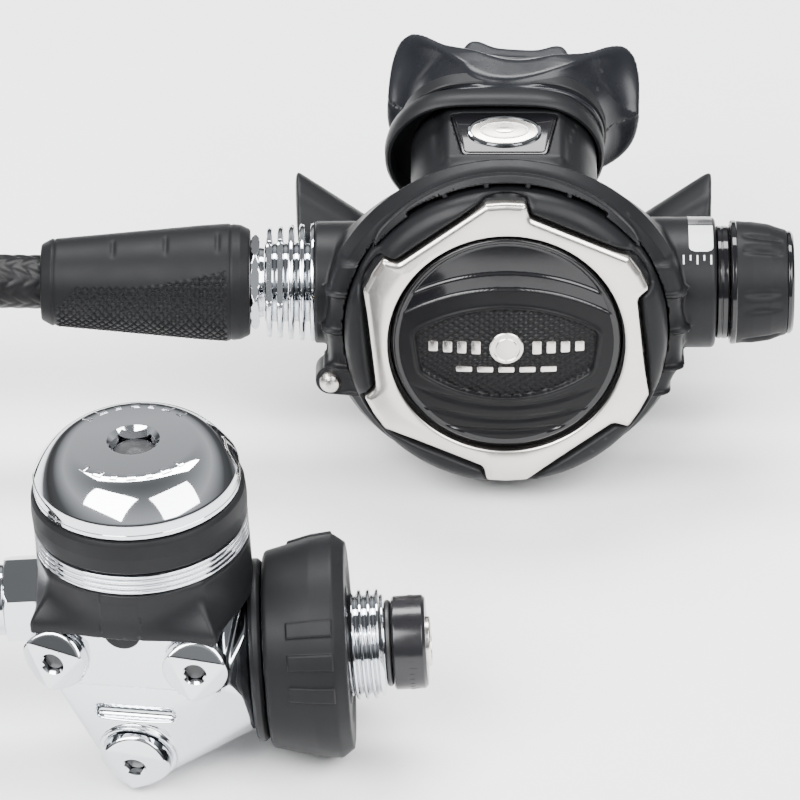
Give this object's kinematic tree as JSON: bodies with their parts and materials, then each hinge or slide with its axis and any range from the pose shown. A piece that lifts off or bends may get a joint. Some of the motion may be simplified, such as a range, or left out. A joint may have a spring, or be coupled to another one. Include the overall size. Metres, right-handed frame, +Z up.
{
  "type": "scuba regulator set",
  "caption": "Sealed diaphragm first stage with threaded cylinder connector, braided hose and second stage with purge button, knob and mouthpiece.",
  "frame": {"origin": "on the floor under the middle of the two stages, measured without the free hose", "axes": "+Z up, +Y from the first stage back to the second stage and its mouthpiece, +X towards the connector and the adjusting knob"},
  "size_m": [0.3171, 0.2161, 0.0793],
  "materials": {
    "chrome": "polished",
    "brushed_nickel": "satin brushed",
    "matte_black": "moulded matte",
    "soft_black": "soft touch",
    "gloss_black": "gloss",
    "silicone": "satin silicone",
    "braid": "woven braid",
    "black_metal": "satin black plating",
    "spring_steel": "drawn wire",
    "brass": "machined",
    "membrane": "thin moulded rubber",
    "seal_rubber": "smooth",
    "white_plastic": "moulded"
  },
  "bodies": {
    "housing": {"first_body": "chrome", "top_cap": "chrome", "cap_band": "soft_black", "clamp_ring": "chrome", "body_shroud": "matte_black", "diaphragm_clamp": "chrome", "environmental_diaphragm": "membrane", "spring_adjuster": "brass", "main_spring": "spring_steel", "main_diaphragm": "membrane", "valve_seat": "brass", "main_valve_spring": "spring_steel", "balance_plug": "brass", "front_port_plugs": "chrome", "gauge_port_plug": "chrome", "plug_o_rings": "seal_rubber", "din_stem": "chrome", "din_backing_ring": "matte_black", "closure_ring": "black_metal", "closure_spring": "spring_steel", "din_o_ring": "seal_rubber", "inlet_filter": "brass", "hose_nut": "chrome", "hose_ferrule": "chrome", "hose_tube": "braid", "hose_grip": "soft_black", "swivel_nut": "chrome", "heat_exchanger": "chrome", "second_body": "matte_black", "front_cover": "matte_black", "trim_ring": "brushed_nickel", "purge_spring": "spring_steel", "second_diaphragm": "membrane", "air_barrel": "brass", "poppet_spring": "spring_steel", "orifice": "brass", "knob_neck": "matte_black", "exhaust_tee": "matte_black", "mouthpiece": "silicone", "mouthpiece_clamp": "matte_black", "tube_collar": "matte_black", "emblem_plate": "gloss_black", "emblem_badge": "chrome", "cover_pin": "chrome"},
    "valve_train": {"load_transmitter": "brass", "diaphragm_button": "brass", "lift_pin": "spring_steel", "main_valve": "spring_steel"},
    "connector_wheel": {"handwheel": "soft_black", "din_thread_sleeve": "chrome"},
    "closure_tip": {"closure_nose": "brushed_nickel"},
    "purge": {"purge_button": "gloss_black"},
    "diaphragm_centre": {"diaphragm_disc": "white_plastic"},
    "lever": {"demand_lever": "spring_steel"},
    "poppet_valve": {"poppet": "white_plastic"},
    "knob": {"adjusting_screw": "brass", "adjust_knob": "soft_black", "knob_end_cap": "gloss_black"},
    "vane": {"venturi_vane": "matte_black"},
    "exhaust_flap": {"exhaust_valve": "membrane"}
  },
  "joints": [
    {"name": "valve_open", "type": "slide", "parent": "housing", "child": "valve_train", "axis": [0.061, 0, -0.9981], "range_m": [0, 0.0008], "stiffness_N_per_m": 8000, "deforming": ["main_spring", "main_valve_spring"]},
    {"name": "handwheel_turn", "type": "hinge", "parent": "housing", "child": "connector_wheel", "pos_m": [-0.01207, -0.0813, 0.02407], "axis": [0.9981, 0, 0.061], "continuous": true},
    {"name": "closure_push", "type": "slide", "parent": "housing", "child": "closure_tip", "axis": [-0.9981, 0, -0.061], "range_m": [0, 0.004], "stiffness_N_per_m": 600, "deforming": ["closure_spring"]},
    {"name": "purge_press", "type": "slide", "parent": "housing", "child": "purge", "axis": [0, 0.9925, -0.1219], "range_m": [0, 0.003], "stiffness_N_per_m": 1200, "deforming": ["purge_spring"]},
    {"name": "diaphragm_press", "type": "slide", "parent": "housing", "child": "diaphragm_centre", "axis": [0, 0.9925, -0.1219], "range_m": [0, 0.003], "deforming": ["second_diaphragm"]},
    {"name": "lever_tilt", "type": "hinge", "parent": "housing", "child": "lever", "pos_m": [0.0381, 0.02655, 0.04188], "axis": [0, -0.1219, -0.9925], "range_deg": [0, 11]},
    {"name": "poppet_lift", "type": "slide", "parent": "housing", "child": "poppet_valve", "axis": [1, 0, 0], "range_m": [0, 0.0006], "deforming": ["poppet_spring"]},
    {"name": "knob_turn", "type": "hinge", "parent": "housing", "child": "knob", "pos_m": [0.0861, 0.03399, 0.04096], "axis": [1, 0, 0], "range_deg": [0, 270]},
    {"name": "vane_turn", "type": "hinge", "parent": "housing", "child": "vane", "pos_m": [0.0111, 0.03399, 0.04096], "axis": [1, 0, 0], "range_deg": [0, 60]},
    {"name": "exhaust_open", "type": "slide", "parent": "housing", "child": "exhaust_flap", "axis": [0, 0.9925, -0.1219], "range_m": [0, 0.0015], "stiffness_N_per_m": 60}
  ],
  "couplings": [
    {"joint": "diaphragm_press", "follows": "purge_press", "ratio": 1},
    {"joint": "lever_tilt", "follows": "purge_press", "rad_per_m": 63},
    {"joint": "poppet_lift", "follows": "purge_press", "ratio": 0.2},
    {"joint": "vane_turn", "follows": "knob_turn", "ratio": 0.22222}
  ]
}
